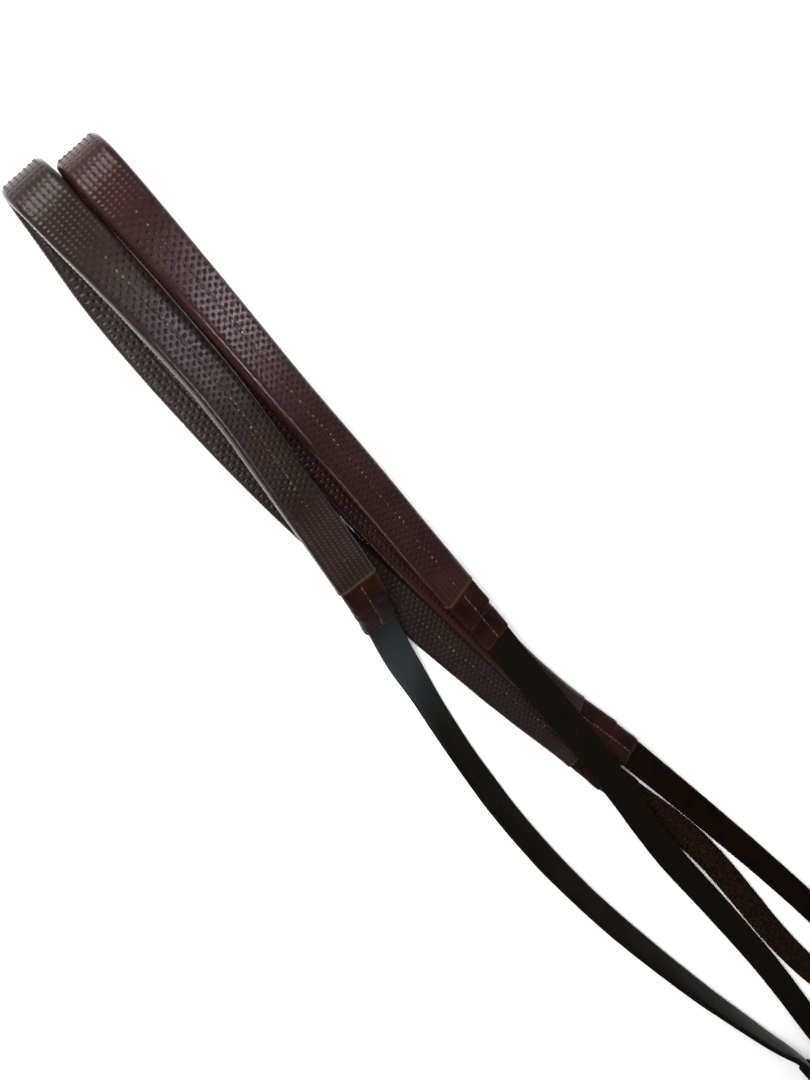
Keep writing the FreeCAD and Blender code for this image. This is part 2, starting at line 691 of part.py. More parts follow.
total = FreeCAD.BoundBox()
for name in NODES:
    item = doc.getObjectsByLabel(name)[0]
    shape = item.Shape
    if shape.isNull() or not shape.isValid() or shape.Volume <= 0:
        raise RuntimeError(f"{name} has no valid shape")
    total.add(shape.BoundBox)
    shape.exportStep(f"parts/{name}.step")
    print(name, "solids", len(shape.Solids), "volume", round(shape.Volume, 1))

print("box", [round(value, 2) for value in (total.XMin, total.XMax, total.YMin, total.YMax,
                                             total.ZMin, total.ZMax)])
for hand, line in lines.items():
    mark = marks[hand]
    print(hand, "length", round(mark["end"] + dim("eye_reach"), 1),
          {key: round(value, 1) for key, value in mark.items()})
    for key in ("core_start", "grip_start", "grip_end", "core_end"):
        place, side, face = line.at(mark[key])
        print("  ", key, [round(v, 2) for v in place], "side", [round(v, 3) for v in side],
              "face", [round(v, 3) for v in face])
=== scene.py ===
"""Looks for the pair of rubber-grip snaffle reins: rubber, leather, thread and steel.

Everything is in metres in the part's own frame. Lengths in the tables and small dimensions are
written in millimetres and turned to metres by MM where a mesh is made.
"""
import math

import bpy
import numpy as np
from mathutils import Matrix, Vector


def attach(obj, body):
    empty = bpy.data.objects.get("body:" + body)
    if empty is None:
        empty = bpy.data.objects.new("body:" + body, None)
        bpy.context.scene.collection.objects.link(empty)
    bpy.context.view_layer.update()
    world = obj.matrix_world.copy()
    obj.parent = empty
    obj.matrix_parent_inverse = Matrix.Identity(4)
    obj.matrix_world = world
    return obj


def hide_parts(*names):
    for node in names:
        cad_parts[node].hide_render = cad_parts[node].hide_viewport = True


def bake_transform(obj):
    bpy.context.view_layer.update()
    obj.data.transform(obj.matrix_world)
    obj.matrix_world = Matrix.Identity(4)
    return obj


MM = 0.001
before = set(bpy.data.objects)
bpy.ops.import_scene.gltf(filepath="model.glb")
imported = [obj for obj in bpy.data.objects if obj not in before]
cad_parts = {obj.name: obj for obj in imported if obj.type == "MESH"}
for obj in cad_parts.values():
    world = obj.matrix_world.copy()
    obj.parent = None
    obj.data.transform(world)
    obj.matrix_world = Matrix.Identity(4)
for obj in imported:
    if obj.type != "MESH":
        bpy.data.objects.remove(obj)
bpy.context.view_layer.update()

# ------------------------------------------------------------------ camera, light, floor

CAMERA_PLACE = (-0.5181, 0.025, 0.4846)
TILT = math.radians(31.6)
ROLL = math.radians(45.0)
view_way = Vector((math.sin(TILT), 0, -math.cos(TILT)))
far_way = Vector((math.cos(TILT), 0, math.sin(TILT)))
side_way = Vector((0, 1, 0))
right_way = far_way * math.cos(ROLL) + side_way * math.sin(ROLL)
up_way = side_way * math.cos(ROLL) - far_way * math.sin(ROLL)

camera_data = bpy.data.cameras.new("camera")
camera_data.lens = 40.0
camera_data.sensor_width = 36.0
camera_data.clip_start = 0.01
camera = bpy.data.objects.new("camera", camera_data)
bpy.context.collection.objects.link(camera)
turn = Matrix((right_way, up_way, -view_way)).transposed().to_4x4()
camera.matrix_world = Matrix.Translation(CAMERA_PLACE) @ turn
bpy.context.scene.camera = camera

world = bpy.data.worlds.new("studio")
world.use_nodes = True
backdrop = world.node_tree.nodes["Background"]
backdrop.inputs["Color"].default_value = (0.94, 0.96, 1.0, 1.0)
backdrop.inputs["Strength"].default_value = 0.3
bpy.context.scene.world = world
bpy.context.scene.view_settings.view_transform = "Standard"


def soft_light(name, place, aim, size, power, colour=(1, 1, 1), spread=180):
    """A square lamp at place, facing aim, its beam held to the spread in degrees."""
    lamp = bpy.data.lights.new(name, "AREA")
    lamp.size = size
    lamp.energy = power
    lamp.color = colour
    lamp.spread = math.radians(spread)
    holder = bpy.data.objects.new(name, lamp)
    bpy.context.collection.objects.link(holder)
    way = Vector(aim) - Vector(place)
    facing = way.to_track_quat("-Z", "Y").to_matrix().to_4x4()
    holder.matrix_world = Matrix.Translation(place) @ facing


soft_light("key", (-0.95, -0.1, 0.75), (-0.25, 0, 0), 0.7, 24)
soft_light("overhead", (-1.5, -0.2, 2.6), (0, 0, 0), 2.2, 24)
soft_light("left_fill", (-0.7, -1.9, 1.5), (0, 0, 0), 1.6, 9)
soft_light("right_fill", (-0.6, 1.9, 1.5), (0, 0, 0), 1.6, 9)
# Two narrow, weak lamps on the grips: one on their faces, one on their rims.
soft_light("face_sheen", (-0.16, 0.32, 0.24), (-0.378, 0.036, 0.026), 0.05, 0.0095,
           (0.86, 0.86, 1.0), 12)
soft_light("rim_sheen", (-0.1, -0.22, 0.4), (-0.36, 0.012, 0.028), 0.05, 0.02,
           (0.9, 0.92, 1.0), 16)

# ------------------------------------------------------------------ where the reins lie

LEFT_ROUTE = [
    (312, -36, 9.7, 90), (298, -36, 9.7, 90), (266, -40.2, 9.1, 75), (220, -43.5, 8.3, 66),
    (170, -46.5, 7.8, 57), (110, -48.5, 7.4, 49), (50, -48.8, 7.0, 46), (-10, -46, 6.8, 42),
    (-60, -40.5, 6.6, 40), (-105, -33, 6.9, 42), (-138, -26.2, 6.7, 40), (-160, -21, 7, 34),
    (-180, -17.2, 7.2, 10), (-206, -10.5, 16, -3), (-234, -4.4, 30, 0), (-268, 2, 27, 8),
    (-306, 8.6, 23, 21), (-345, 15, 23.6, 24), (-388, 18.2, 27, 23), (-426, 19.6, 28.6, 12),
    (-451.3, 20.2, 28, 3), (-451.3, 19.6, 4.4, 3), (-430, 15.6, 4.1, 1), (-395, 8.4, 3.9, 0),
    (-350, 4, 3.8, 0), (-300, 1, 3.8, 0), (-240, 0.8, 3.8, 0), (-180, 2.4, 3.8, 0),
    (-120, 5, 3.8, 0), (-80, 8, 3.8, 0), (-45, 11, 3.8, 0), (-5, 12.2, 4.0, 0),
    (32, 17, 2.4, 0), (80, 20.4, 1.8, 0), (140, 17.2, 1.8, 0), (190, 13.4, 1.8, 0),
    (240, 12.6, 1.8, 0), (290, 16, 1.8, 0), (335, 21.5, 1.8, 0), (368, 29.5, 3.5, 0),
    (378, 36, 15, 0), (364, 40.5, 26, 0), (344, 43, 22, 0), (328, 43.5, 10, 0),
    (314, 43.5, 8.2, 0), (303, 43.5, 10.2, 0), (295, 43.5, 12.1, 0), (287, 43.5, 11.3, 0),
    (279, 43.5, 8.7, 0), (268, 43.5, 8.4, 0), (250, 43.5, 8.4, 0), (226, 43.5, 8.4, 0),
]
RIGHT_ROUTE = [
    (366, -17, 3.4, 0), (346, -17, 3.4, 0), (310, -14.8, 2.2, 0), (270, -10.4, 1.8, 0),
    (220, -5.0, 1.8, 0), (160, -1.2, 1.8, 0), (110, 1.2, 3.2, 0), (70, 2.6, 6.1, 0),
    (30, 6.2, 9.2, 0), (-5, 10.4, 12.4, 0), (-35, 13.6, 17.3, 0), (-65, 16.2, 17.9, 2),
    (-95, 18.8, 17.3, 7), (-125, 20.4, 16.6, 13), (-155, 23.4, 16.0, 18), (-190, 25.2, 15.2, 21),
    (-230, 28.2, 13.8, 22), (-270, 31, 15.8, 25), (-310, 33, 19.4, 28), (-350, 35.5, 23.6, 27),
    (-388, 37.9, 27, 23), (-420, 39.6, 28.8, 12), (-444.3, 40.7, 28, 3), (-444.3, 40.6, 4.4, 3),
    (-422, 37.9, 4.1, 1), (-388, 35.2, 3.9, 0), (-350, 30.8, 3.8, 0), (-310, 26.2, 4.4, 0),
    (-270, 22.8, 6.4, -12), (-230, 20.6, 7.8, -23), (-190, 20, 7.9, -24), (-150, 20, 8.1, -25),
    (-110, 20.6, 8.3, -27), (-80, 23, 8.2, -27), (-55, 26.2, 8.2, -25), (-30, 29.2, 8.2, -20),
    (-8, 30.8, 6.8, -10), (20, 32.6, 2.4, 0), (60, 35.4, 1.8, 0), (110, 38.6, 1.8, 0),
    (160, 41.4, 1.8, 0), (200, 43.1, 3.2, 0), (222, 43.5, 4.85, 0), (250, 43.5, 4.85, 0),
]
FOLD_TO_BIT_CAP = {"left": 220.0, "right": 265.0}
FOLD_TO_HAND_CAP = {"left": 413.0, "right": 379.0}
BIT_CAP_LONG = 35.0
HAND_CAP_LONG = 50.0
STRAP_WIDE, STRAP_THICK = 16.0, 3.4
GRIP_WIDE, GRIP_THICK = 20.0, 7.0
KEEPER_LONG, KEEPER_THICK = 7.0, 1.2
LOOP_HALF_WIDE, LOOP_HALF_HIGH = 8.9, 4.35
STUD_REACH = 30.0     # from a billet's start to its stud
EYE_REACH = 80.6      # from a billet's start to the middle of its eye
EYE_TURN = 6.7        # radius of the strap's middle line round the eye
FLEX_REACH = 45.0     # stretch of strap beside the bit cap
PAINTED_SHEEN_REACH = 36.0    # how far the painted sheen fades either way from its middle


def spline(route, steps=24):
    """Quadratic B-spline on the route's points: each inner point rounds the corner between the
    middles of its two runs, (1-w)^2 a + 2w(1-w) p + w^2 b."""
    points = np.array(route, float)
    middles = (points[:-1] + points[1:]) / 2
    knots = np.vstack([points[:1], middles[1:-1], points[-1:]])
    w = (np.arange(steps) + 1)[None, :, None] / steps
    spans = ((1 - w) ** 2 * knots[:-1, None] + 2 * w * (1 - w) * points[1:-1, None]
             + w ** 2 * knots[1:, None])
    return np.vstack([points[:1], spans.reshape(-1, points.shape[1])])


def unit(vectors):
    """The rows of an array, each divided by its length."""
    return vectors / np.linalg.norm(vectors, axis=-1, keepdims=True)


class Way:
    """A path in millimetres: lengths along it, points, and the strap's side and face directions.
    grain_up is 1 where the leather's grain is on the face's side, and -1 where it is underneath."""
    grain_up = 1

    def __init__(self, points, side):
        steps = np.linalg.norm(np.diff(points, axis=0), axis=1)
        self.length = np.concatenate([[0.0], np.cumsum(steps)])
        self.points = points
        along = unit(np.gradient(points, axis=0))
        self.side = unit(side - along * np.sum(side * along, axis=1, keepdims=True))
        self.face = np.cross(self.side, along)

    def at(self, lengths):
        """Points, side and face directions at the given lengths, by straight interpolation."""
        def pick(values):
            return np.stack([np.interp(lengths, self.length, column) for column in values.T], axis=1)
        return pick(self.points), unit(pick(self.side)), unit(pick(self.face))

    def fold(self):
        """Length at which the path turns back, its lowest X."""
        return self.length[np.argmin(self.points[:, 0])]


def rein_way(route):
    """A rein's path: the side direction is +Y squared to the path, turned about it by the bank."""
    table = spline(route)
    points = table[:, :3]
    along = unit(np.gradient(points, axis=0))
    level = unit(np.array([0.0, 1.0, 0.0]) - along * along[:, 1:2])
    bank = np.radians(table[:, 3:4])
    return Way(points, level * np.cos(bank) + np.cross(along, level) * np.sin(bank))


reins = {"left": rein_way(LEFT_ROUTE), "right": rein_way(RIGHT_ROUTE)}
reins["right"].grain_up = -1
marks = {}
for hand, way in reins.items():
    fold = way.fold()
    marks[hand] = {
        "fold": fold,
        "bit_cap": (fold - FOLD_TO_BIT_CAP[hand] - BIT_CAP_LONG, fold - FOLD_TO_BIT_CAP[hand]),
        "hand_cap": (fold + FOLD_TO_HAND_CAP[hand], fold + FOLD_TO_HAND_CAP[hand] + HAND_CAP_LONG),
        "end": way.length[-1],
    }

# ------------------------------------------------------------------ meshes from grids


def strap_section(flat_count, arc_count):
    """Cross-section of a strap as a rounded rectangle: for each point, the share of the flat
    half-width and half-height (-1 to 1) and the outward direction that the corner radius follows."""
    across = np.linspace(1, -1, flat_count)
    turn_a = np.linspace(np.pi / 2, 3 * np.pi / 2, arc_count + 2)[1:-1]
    turn_b = np.linspace(-np.pi / 2, np.pi / 2, arc_count + 2)[1:-1]
    share_a = np.concatenate([across, -np.ones(arc_count), -across, np.ones(arc_count)])
    way_a = np.concatenate([np.zeros(flat_count), np.cos(turn_a), np.zeros(flat_count), np.cos(turn_b)])
    way_h = np.concatenate([np.ones(flat_count), np.sin(turn_a), -np.ones(flat_count), np.sin(turn_b)])
    share_h = np.where(np.abs(way_h) < 1e-9, 0.0, np.sign(way_h))
    return share_a, share_h, way_a, way_h


def grid_mesh(name, points, looped=False, **attributes):
    """A mesh from a grid of points, rows along and columns around. Columns always close up; rows
    close up when looped, and otherwise each end gets a fan of triangles about its middle."""
    rows, columns = points.shape[:2]
    flat = points.reshape(-1, 3) * MM
    index = np.arange(rows * columns).reshape(rows, columns)
    nxt = np.roll(index, -1, axis=1)
    if looped:
        low, high, low_next, high_next = index, np.roll(index, -1, 0), nxt, np.roll(nxt, -1, 0)
    else:
        low, high, low_next, high_next = index[:-1], index[1:], nxt[:-1], nxt[1:]
    quads = np.stack([low, high, high_next, low_next], axis=-1).reshape(-1, 4)
    loops = quads.ravel()
    totals = np.full(len(quads), 4)
    if not looped:
        centre = np.array([points[0].mean(axis=0), points[-1].mean(axis=0)]) * MM
        flat = np.vstack([flat, centre])
        count = rows * columns
        first = np.stack([np.full(columns, count), index[0], nxt[0]], axis=-1)
        last = np.stack([np.full(columns, count + 1), nxt[-1], index[-1]], axis=-1)
        loops = np.concatenate([loops, first.ravel(), last.ravel()])
        totals = np.concatenate([totals, np.full(2 * columns, 3)])
    return raw_mesh(name, flat, loops, totals, attributes)


def raw_mesh(name, vertices, loops, totals, attributes):
    """A smooth-shaded mesh object from plain arrays, with one float attribute per named array."""
    mesh = bpy.data.meshes.new(name)
    mesh.vertices.add(len(vertices))
    mesh.vertices.foreach_set("co", np.ascontiguousarray(vertices, np.float32).ravel())
    mesh.loops.add(len(loops))
    mesh.loops.foreach_set("vertex_index", np.ascontiguousarray(loops, np.int32))
    mesh.polygons.add(len(totals))
    starts = np.concatenate([[0], np.cumsum(totals)[:-1]])
    mesh.polygons.foreach_set("loop_start", starts.astype(np.int32))
    mesh.polygons.foreach_set("loop_total", totals.astype(np.int32))
    mesh.update(calc_edges=True)
    for key, values in attributes.items():
        data = np.zeros(len(vertices), np.float32)
        values = np.asarray(values, np.float32).ravel()
        data[:len(values)] = values
        layer = mesh.attributes.new(key, "FLOAT", "POINT")
        layer.data.foreach_set("value", data)
    mesh.validate()
    mesh.polygons.foreach_set("use_smooth", np.ones(len(mesh.polygons), bool))
    piece = bpy.data.objects.new(name, mesh)
    bpy.context.collection.objects.link(piece)
    return piece


def swept(name, way, lengths, section, width, thick, radius, relief=0.0, looped=False, **attributes):
    """A strap carried along a path: point = path + side * (share * (width/2 - radius) + out * radius)
    + face * (the same for the height), each pushed out by the relief."""
    share_a, share_h, way_a, way_h = section
    place, side, face = way.at(lengths)
    width, thick, radius = (np.broadcast_to(np.asarray(v, float), lengths.shape)[:, None]
                            for v in (width, thick, radius))
    out = radius + relief
    a = share_a * (width / 2 - radius) + way_a * out
    h = share_h * (thick / 2 - radius) + way_h * out
    points = place[:, None] + side[:, None] * a[..., None] + face[:, None] * h[..., None]
    attributes.setdefault("grain", np.broadcast_to(way_h * way.grain_up, a.shape))
    attributes.setdefault("across", a)
    attributes.setdefault("run", np.broadcast_to(lengths[:, None], a.shape))
    return grid_mesh(name, points, looped, **attributes)


def smooth_noise(shape, cells, seed):
    """Gentle random hills on a grid: a coarse table of random numbers, spread by cosine weights."""
    random = np.random.default_rng(seed)
    table = random.uniform(-1, 1, (cells[0] + 2, cells[1] + 2))
    rows = np.linspace(0, cells[0], shape[0])
    columns = np.linspace(0, cells[1], shape[1])
    r0, c0 = rows.astype(int), columns.astype(int)
    fr = ((1 - np.cos(np.pi * (rows - r0))) / 2)[:, None]
    fc = ((1 - np.cos(np.pi * (columns - c0))) / 2)[None, :]
    top = table[np.ix_(r0, c0)] * (1 - fc) + table[np.ix_(r0, c0 + 1)] * fc
    low = table[np.ix_(r0 + 1, c0)] * (1 - fc) + table[np.ix_(r0 + 1, c0 + 1)] * fc
    return top * (1 - fr) + low * fr


def fall(value, start, end):
    """Smooth step from 0 at start to 1 at end."""
    t = np.clip((value - start) / (end - start), 0, 1)
    return t * t * (3 - 2 * t)


# ------------------------------------------------------------------ materials


def colour(code):
    """An sRGB hex colour as linear RGBA."""
    parts = [int(code[k:k + 2], 16) / 255 for k in (0, 2, 4)]
    return tuple(c / 12.92 if c <= 0.04045 else ((c + 0.055) / 1.055) ** 2.4 for c in parts) + (1.0,)


def add(tree, kind, settings=None, values=None, links=None):
    """One shader node, with its settings, its socket values and the sockets it reads."""
    item = tree.nodes.new(kind)
    for key, value in (settings or {}).items():
        setattr(item, key, value)
    for key, value in (values or {}).items():
        item.inputs[key].default_value = value
    for key, source in (links or {}).items():
        tree.links.new(source, item.inputs[key])
    return item


def blank_material(name):
    """A new material with only its shader and output; returns it with its tree and shader."""
    material = bpy.data.materials.new(name)
    material.use_nodes = True
    tree = material.node_tree
    shader = tree.nodes["Principled BSDF"]
    return material, tree, shader


def ramp(tree, source, stops):
    """A colour ramp over a value: stops are (place, linear colour)."""
    item = add(tree, "ShaderNodeValToRGB", links={"Fac": source})
    bar = item.color_ramp
    bar.elements[0].position, bar.elements[0].color = stops[0]
    bar.elements[1].position, bar.elements[1].color = stops[-1]
    for place, shade in stops[1:-1]:
        bar.elements.new(place).color = shade
    return item.outputs["Color"]


def grey(value):
    """A neutral ramp colour."""
    return (value, value, value, 1.0)


def mixed(tree, factor, first, second, blend="MIX"):
    """Mixes two colours, each a socket or a fixed colour, by a socket or a number."""
    item = add(tree, "ShaderNodeMix", {"data_type": "RGBA", "blend_type": blend})
    for key, value in ((0, factor), (6, first), (7, second)):
        if isinstance(value, bpy.types.NodeSocket):
            tree.links.new(value, item.inputs[key])
        else:
            item.inputs[key].default_value = value
    return item.outputs[2]


def noise(tree, place, scale, detail=3.0, rough=0.55):
    """Noise whose features are 1000/scale millimetres across, on the piece's own coordinates."""
    return add(tree, "ShaderNodeTexNoise", links={"Vector": place},
               values={"Scale": scale, "Detail": detail, "Roughness": rough}).outputs["Fac"]


def bumped(tree, shader, height, distance, strength=1.0):
    """Feeds a height to the shader's normal."""
    item = add(tree, "ShaderNodeBump", values={"Distance": distance, "Strength": strength},
               links={"Height": height})
    tree.links.new(item.outputs["Normal"], shader.inputs["Normal"])


def attribute(tree, name):
    """The value of one of the mesh's own attributes."""
    return add(tree, "ShaderNodeAttribute", {"attribute_name": name}).outputs["Fac"]


def pimpled_rubber(name, body, ridge, pit, edge, tip):
    """Moulded natural rubber, hand-worn: brown and slightly chalky on top, with painted shade dark
    in the dimples and painted highlights pale on the pimples' tips, the rim pimples and the lips."""
    material, tree, shader = blank_material(name)
    place = add(tree, "ShaderNodeTexCoord").outputs["Object"]
    # Chalky wear comes and goes over 22 mm; scuffs are drawn 1 mm across, the finest that shows.
    wear = ramp(tree, noise(tree, place, 45, 3), [(0.36, grey(0)), (0.66, grey(1))])
    scuff = ramp(tree, noise(tree, place, 900, 2), [(0.45, grey(0)), (0.75, grey(0.5))])
    base = mixed(tree, wear, colour(body), colour(ridge))
    width = add(tree, "ShaderNodeMath", {"operation": "ABSOLUTE"}, links={0: attribute(tree, "across")})
    rim = add(tree, "ShaderNodeMapRange", values={"From Min": 7.2, "From Max": 8.8},
              links={"Value": width.outputs[0]}).outputs["Result"]
    base = mixed(tree, rim, base, colour(edge))
    base = mixed(tree, scuff, base, colour(ridge))
    # Painted shade: the dimples are coloured near-black.
    base = mixed(tree, attribute(tree, "pit"), base, colour(pit))
    # Painted highlights: the pimples' tips, the rim pimples and the lips at the caps are coloured pale.
    base = mixed(tree, attribute(tree, "light"), base, colour(tip))
    tree.links.new(base, shader.inputs["Base Color"])
    gloss = add(tree, "ShaderNodeMapRange", values={"To Min": 0.36, "To Max": 0.26},
                links={"Value": rim}).outputs["Result"]
    gloss = mixed(tree, attribute(tree, "light"), gloss, grey(0.62))
    tree.links.new(gloss, shader.inputs["Roughness"])
    shader.inputs["IOR"].default_value = 1.52
    shader.inputs["Specular IOR Level"].default_value = 0.16
    bumped(tree, shader, noise(tree, place, 1300, 2), 0.00012, 0.5)
    return material


def bridle_leather(name, grain, sheen, flesh, flesh_light, bloom, rough=0.5):
    """Bridle leather: waxed and smooth on the grain, fuzzy and speckled on the flesh side."""
    material, tree, shader = blank_material(name)
    place = add(tree, "ShaderNodeTexCoord").outputs["Object"]
    cloud = ramp(tree, noise(tree, place, 60, 4), [(0.38, grey(0)), (0.66, grey(1))])
    top = mixed(tree, cloud, colour(grain), colour(sheen))
    # Painted sheen: a blue-grey highlight laid into the grain's colour where a strap carries it,
    # strongest beside the bit cap.
    top = mixed(tree, attribute(tree, "bloom"), top, colour(bloom))
    # The flesh side's fibre tufts are about 1.3 mm across, and the grain's pores 0.7 mm apart.
    fuzz = ramp(tree, noise(tree, place, 750, 4, 0.7), [(0.45, grey(0)), (0.63, grey(1))])
    under = mixed(tree, fuzz, colour(flesh), colour(flesh_light))
    side = ramp(tree, attribute(tree, "grain"), [(0.0, grey(0)), (0.25, grey(1))])
    base = mixed(tree, side, under, top)
    tree.links.new(base, shader.inputs["Base Color"])
    gloss = add(tree, "ShaderNodeMapRange", values={"To Min": 0.85, "To Max": rough},
                links={"Value": side}).outputs["Result"]
    tree.links.new(gloss, shader.inputs["Roughness"])
    shader.inputs["IOR"].default_value = 1.45
    shader.inputs["Specular IOR Level"].default_value = 0.02
    pores = add(tree, "ShaderNodeTexVoronoi", values={"Scale": 1500},
                links={"Vector": place}).outputs["Distance"]
    height = mixed(tree, side, fuzz, pores)
    bumped(tree, shader, height, 0.00016, 0.45)
    return material


def cap_leather(name, dark, warm, worn):
    """Thinner chestnut leather, glazed: darker in its creases and rubbed lighter on its high edges."""
    material, tree, shader = blank_material(name)
    place = add(tree, "ShaderNodeTexCoord").outputs["Object"]
    cloud = ramp(tree, noise(tree, place, 130, 4), [(0.36, grey(0)), (0.66, grey(1))])
    base = mixed(tree, cloud, colour(dark), colour(warm))
    base = mixed(tree, attribute(tree, "worn"), base, colour(worn))
    tree.links.new(base, shader.inputs["Base Color"])
    shader.inputs["Roughness"].default_value = 0.42
    shader.inputs["IOR"].default_value = 1.47
    shader.inputs["Specular IOR Level"].default_value = 0.08
    bumped(tree, shader, noise(tree, place, 1100, 3), 0.0002, 0.5)
    return material


def waxed_thread(name, bright, dull):
    """Waxed linen thread: each stitch is either rubbed bright or grimed dark."""
    material, tree, shader = blank_material(name)
    place = add(tree, "ShaderNodeTexCoord").outputs["Object"]
    strand = noise(tree, place, 2500, 2)
    base = mixed(tree, attribute(tree, "shade"), colour(dull), colour(bright))
    base = mixed(tree, 0.25, base, mixed(tree, strand, base, colour(dull)))
    tree.links.new(base, shader.inputs["Base Color"])
    shader.inputs["Roughness"].default_value = 0.7
    bumped(tree, shader, strand, 0.0001, 0.5)
    return material


def stainless_steel(name):
    """Polished stainless steel with fine handling scratches."""
    material, tree, shader = blank_material(name)
    place = add(tree, "ShaderNodeTexCoord").outputs["Object"]
    stretch = add(tree, "ShaderNodeMapping", values={"Scale": (1.0, 6.0, 6.0)}, links={"Vector": place})
    lines = noise(tree, stretch.outputs["Vector"], 400, 4)
    shader.inputs["Base Color"].default_value = colour("c4c3c0")
    shader.inputs["Metallic"].default_value = 1.0
    gloss = add(tree, "ShaderNodeMapRange", values={"To Min": 0.2, "To Max": 0.38},
                links={"Value": lines}).outputs["Result"]
    tree.links.new(gloss, shader.inputs["Roughness"])
    bumped(tree, shader, lines, 0.00003, 0.3)
    return material


def pale_floor(name):
    """A plain matt white table top."""
    material, _, shader = blank_material(name)
    shader.inputs["Base Color"].default_value = colour("fbfbfb")
    shader.inputs["Roughness"].default_value = 0.9
    shader.inputs["Specular IOR Level"].default_value = 0.1
    return material


# For each rubber: body, ridge, painted shade in the dimples, rim, and painted highlight on the tips.
rubber = {
    "left": pimpled_rubber("grey_brown_rubber", "170e0b", "1f1613", "050302", "170e0c", "382e26"),
    "right": pimpled_rubber("red_brown_rubber", "1d0c0a", "251311", "060302", "1d0d0b", "3a2621"),
}
# The last colour given to each leather is a painted sheen, a highlight laid into the grain.
strap_leather = bridle_leather("black_bridle_leather", "0a0805", "0f0c08", "0b0906", "110e0a",
                               "25292a", 0.32)
hand_leather = bridle_leather("brown_bridle_leather", "090402", "0f0704", "0a0503", "241810",
                              "2b2624", 0.4)
chestnut = cap_leather("chestnut_cap_leather", "0e0504", "200c07", "321810")
thread = waxed_thread("waxed_thread", "6c5a4d", "17100d")
steel = stainless_steel("stainless_steel")


def finish_piece(piece, material, body, slot, *nodes, sharp=None):
    """Gives a piece its material, its body and the CAD nodes it stands for; slot is not used."""
    piece.data.materials.clear()
    piece.data.materials.append(material)
    if sharp:
        piece.data.set_sharp_from_angle(angle=math.radians(sharp))
    if body:
        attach(piece, body)
    if nodes:
        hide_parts(*nodes)


# ------------------------------------------------------------------ rubber grips

PITCH = 3.45          # between dimples along the grip
ROW = 2.35            # between neighbouring rows of dimples
PIT_RADIUS = 0.8
PIT_DEPTH = 0.6
PIMPLE_RADIUS = 0.56
PIMPLE_HEIGHT = 0.36
STEP = PITCH / 10


def dots(run, across, pitch, staggered, radius):
    """Height share, 0 to 1, of the nearest dot: rows ROW apart, dots pitch apart, every other row
    moved half a pitch when staggered, each dot a round cap 1 - (r / radius)^2."""
    row = np.round(across / ROW)
    shift = np.where(np.mod(row, 2) == 1, 0.5, 0.0) * staggered
    along = run / pitch - shift
    dx = (along - np.round(along)) * pitch
    dy = across - row * ROW
    return np.clip(1 - (dx ** 2 + dy ** 2) / radius ** 2, 0, 1) * (np.abs(row) <= 3)


def rubber_sleeve(name, hand, start, end, seed):
    """The rubber as a rounded tube. Its middle stretches have dimples sunk into both faces. Where
    it is pulled over the fold and drawn into the caps the rubber stands up in rows of pimples
    instead: relief = (1 - drawn) * -depth * dimple + drawn * height * pimple. The rims stay smooth,
    but for one row of pimples low on each, and the rubber swells to a lip at its caps."""
    way, mark = reins[hand], marks[hand]
    lengths = np.linspace(start, end, int((end - start) / STEP) + 1)
    section = strap_section(37, 9)
    share_a, _, way_a, way_h = section
    radius = 2.7
    across = (share_a * (GRIP_WIDE / 2 - radius) + way_a * radius)[None, :]
    run = lengths[:, None] - mark["fold"]
    flat = (np.abs(way_h) > 0.99)[None, :].astype(float)
    to_bit, to_hand = lengths - mark["bit_cap"][1], mark["hand_cap"][0] - lengths
    bit_reach, fold_reach = (36, 30) if hand == "left" else (10, 22)
    drawn = np.maximum.reduce([1 - fall(to_bit, bit_reach, bit_reach + 22), 1 - fall(to_hand, 14, 34),
                               1 - fall(np.abs(run[:, 0]), fold_reach, fold_reach + 24)])[:, None]
    pit = dots(run, across, PITCH, 1.0, PIT_RADIUS) * flat * (1 - drawn)
    pimple = dots(run, across, PITCH / 2, 0.0, PIMPLE_RADIUS) * flat * drawn
    rim_dot = np.clip(1 - ((np.mod(run / PITCH * 2 + 0.5, 1) - 0.5) ** 2 * (PITCH / 2) ** 2
                           + (way_h + 0.45)[None, :] ** 2 * radius ** 2) / 0.45, 0, 1) * (1 - flat)
    relief = PIMPLE_HEIGHT * pimple - PIT_DEPTH * pit + 0.22 * rim_dot
    relief = relief + 0.12 * smooth_noise(relief.shape, (int((end - start) / 14), 6), seed)
    relief = relief - 0.22 * np.exp(-(across / 0.55) ** 2) * flat * (1 - drawn)
    lip = np.exp(-(np.minimum(to_bit, to_hand) / 0.8) ** 2)[:, None]
    relief = relief + 0.22 * lip
    # Painted highlights: where the tips, rim pimples and lips are coloured pale.
    light = np.clip(0.8 * pimple ** 3 + 0.5 * rim_dot ** 2 + 0.75 * lip, 0, 1)
    # The dimples' mask, strengthened, also paints shade into the dimples.
    return swept(name, way, lengths, section, GRIP_WIDE, GRIP_THICK, radius, relief,
                 pit=np.clip(pit * 1.6, 0, 1), light=light)


for hand in ("left", "right"):
    mark = marks[hand]
    middle = (mark["fold"] + mark["hand_cap"][0]) / 2
    stretches = (("bit_side", mark["bit_cap"][1], mark["fold"]), ("fold_side", mark["fold"], middle),
                 ("hand_side", middle, mark["hand_cap"][0]))
    for k, (where, start, end) in enumerate(stretches):
        sleeve = rubber_sleeve(f"{hand}_rubber_{where}", hand, start, end, 3 + k)
        nodes = (f"{hand}_grip_rubber", f"{hand}_grip_core") if k == 0 else ()
        finish_piece(sleeve, rubber[hand], "root", f"{hand}_rubber", *nodes, sharp=75)


# ------------------------------------------------------------------ thread


